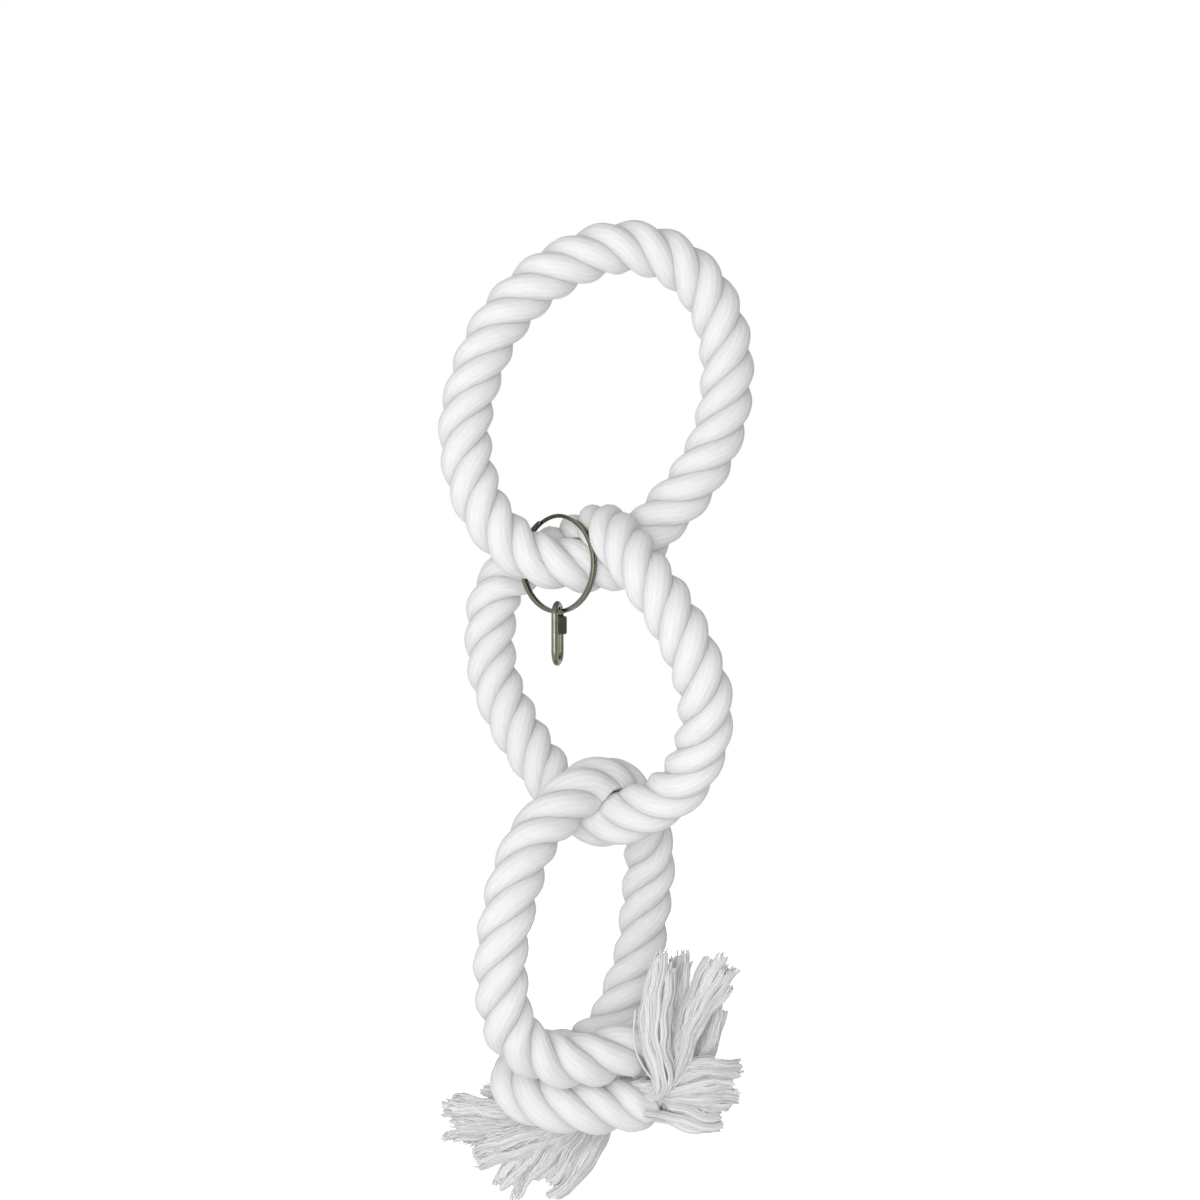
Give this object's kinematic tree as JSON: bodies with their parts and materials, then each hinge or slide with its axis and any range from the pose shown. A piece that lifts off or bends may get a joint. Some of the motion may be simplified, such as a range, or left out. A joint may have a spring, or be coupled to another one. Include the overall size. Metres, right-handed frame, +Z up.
{
  "type": "bird ring toy",
  "caption": "Hanging bird toy: a chain of linked rings of laid cotton rope, the lowest tied in a half knot with frayed ends, with a split ring and a quick link on the top ring.",
  "frame": {"origin": "where a peg or hook carries the top ring, at the underside of the rope at the ring's highest stretch", "axes": "+Z up along the hanging chain, +X to the right in the picture, +Y away from the viewer through the top ring's hole"},
  "size_m": [0.1551, 0.1121, 0.4836],
  "materials": {
    "cotton_rope": "matte white twisted cotton",
    "frayed_cotton": "matte unlaid cotton yarn",
    "nickel_plated_steel": "bright nickel plate",
    "sleeve_nut_steel": "darker nickel plate"
  },
  "bodies": {
    "top_ring": {"top_ring_strand_1": "cotton_rope", "top_ring_strand_2": "cotton_rope", "top_ring_strand_3": "cotton_rope"},
    "middle_ring": {"middle_ring_strand_1": "cotton_rope", "middle_ring_strand_2": "cotton_rope", "middle_ring_strand_3": "cotton_rope"},
    "bottom_ring": {"bottom_ring_strand_1": "cotton_rope", "bottom_ring_strand_2": "cotton_rope", "bottom_ring_strand_3": "cotton_rope", "right_end_lock_1": "frayed_cotton", "right_end_lock_2": "frayed_cotton", "right_end_lock_3": "frayed_cotton", "left_end_lock_1": "frayed_cotton", "left_end_lock_2": "frayed_cotton", "left_end_lock_3": "frayed_cotton"},
    "split_ring": {"split_ring": "nickel_plated_steel"},
    "quick_link": {"quick_link": "nickel_plated_steel"},
    "sleeve_nut": {"sleeve_nut": "sleeve_nut_steel"}
  },
  "joints": [
    {"name": "middle_ring_swing", "type": "hinge", "parent": "top_ring", "child": "middle_ring", "pos_m": [-0.01223, 0.00375, -0.1395], "axis": [0.94, 0.3412, 0], "range_deg": [-12, 12]},
    {"name": "bottom_ring_swing", "type": "hinge", "parent": "middle_ring", "child": "bottom_ring", "pos_m": [-0.01274, 0.00536, -0.267], "axis": [0.76, -0.65, 0], "range_deg": [-30, 14]},
    {"name": "split_ring_swing", "type": "hinge", "parent": "top_ring", "child": "split_ring", "pos_m": [-0.0296, 0.00036, -0.1412], "axis": [0.9864, 0.0594, -0.153], "range_deg": [-4, 10]},
    {"name": "quick_link_swing", "type": "hinge", "parent": "split_ring", "child": "quick_link", "pos_m": [-0.0296, 0.00036, -0.1647], "axis": [0.7547, -0.6561, 0], "range_deg": [-45, 45]},
    {"name": "sleeve_nut_travel", "type": "slide", "parent": "quick_link", "child": "sleeve_nut", "axis": [0, 0, -1], "range_m": [0, 0.0074]}
  ]
}
